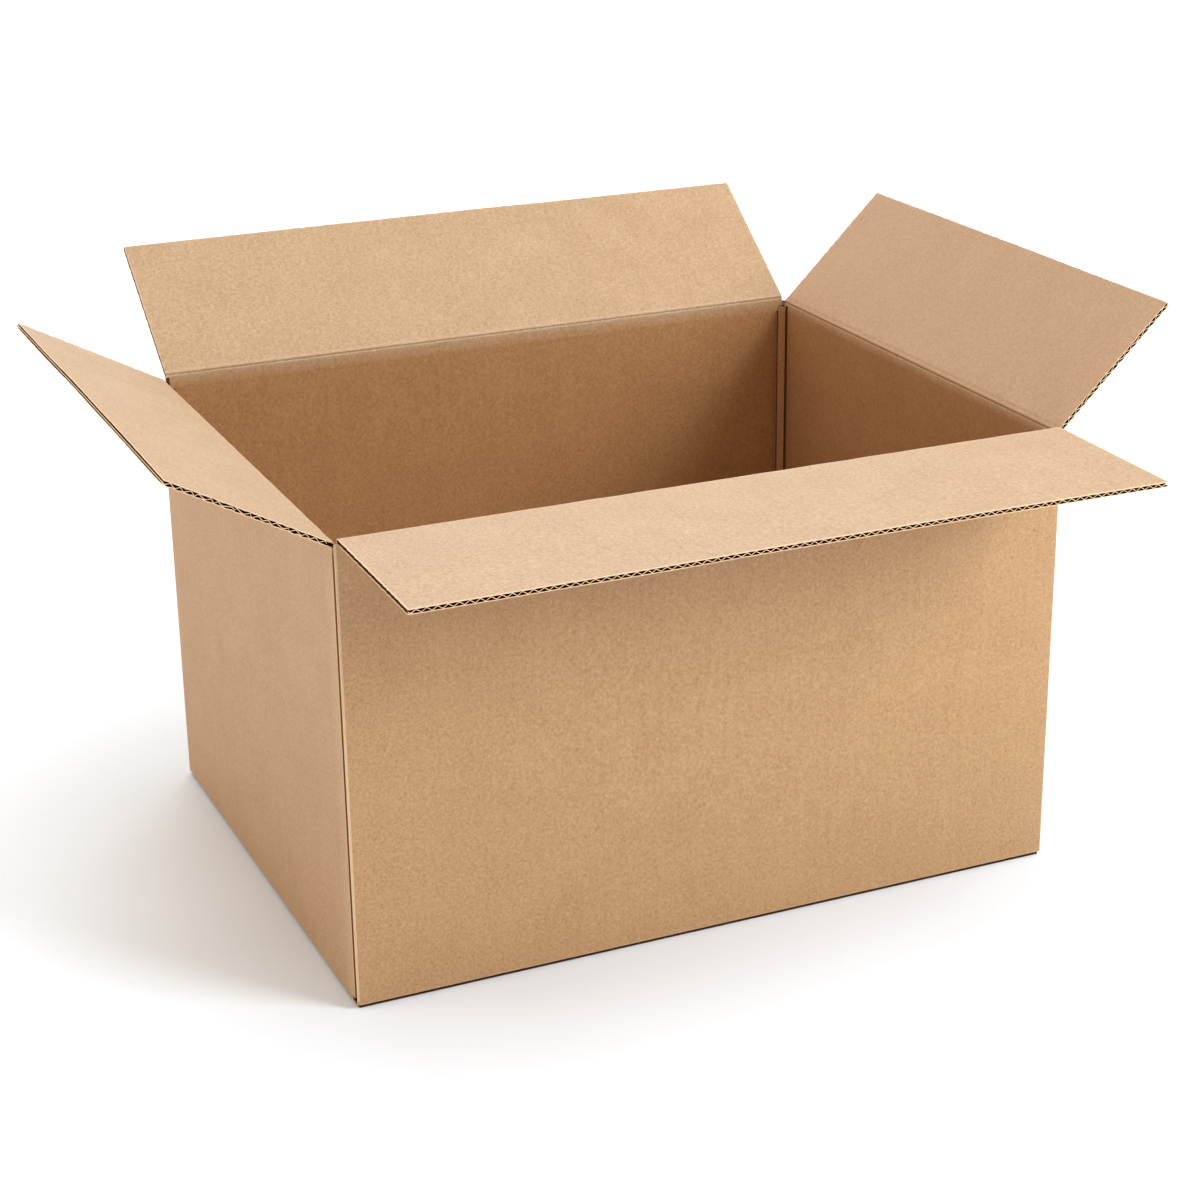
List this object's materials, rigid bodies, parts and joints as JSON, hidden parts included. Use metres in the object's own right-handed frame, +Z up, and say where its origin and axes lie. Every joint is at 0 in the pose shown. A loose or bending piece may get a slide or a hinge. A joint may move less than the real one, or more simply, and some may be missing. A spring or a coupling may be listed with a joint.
{
  "type": "open cardboard box",
  "caption": "Open shipping box of plain corrugated board: upright walls, a closed bottom and hinged top flaps standing open, for packing goods.",
  "frame": {"origin": "middle of the underside, where the box stands", "axes": "+X along the front wall to the right, +Y from the front wall to the rear wall, +Z up"},
  "size_m": [0.8125, 0.7229, 0.4605],
  "materials": {
    "board": "matte",
    "flap_board": "matte"
  },
  "bodies": {
    "case": {"case_body": "board"},
    "front_flap": {"front_flap": "flap_board"},
    "rear_flap": {"rear_flap": "flap_board"},
    "left_flap": {"left_flap": "flap_board"},
    "right_flap": {"right_flap": "flap_board"}
  },
  "joints": [
    {"name": "front_flap_score", "type": "hinge", "parent": "case", "child": "front_flap", "pos_m": [0, -0.231, 0.3704], "axis": [1, 0, 0], "range_deg": [-179.5, 37]},
    {"name": "rear_flap_score", "type": "hinge", "parent": "case", "child": "rear_flap", "pos_m": [0, 0.231, 0.3704], "axis": [-1, 0, 0], "range_deg": [-142, 74.5]},
    {"name": "left_flap_score", "type": "hinge", "parent": "case", "child": "left_flap", "pos_m": [-0.298, 0, 0.366], "axis": [0, -1, 0], "range_deg": [-151.5, 66.5]},
    {"name": "right_flap_score", "type": "hinge", "parent": "case", "child": "right_flap", "pos_m": [0.298, 0, 0.366], "axis": [0, 1, 0], "range_deg": [-136, 82]}
  ]
}
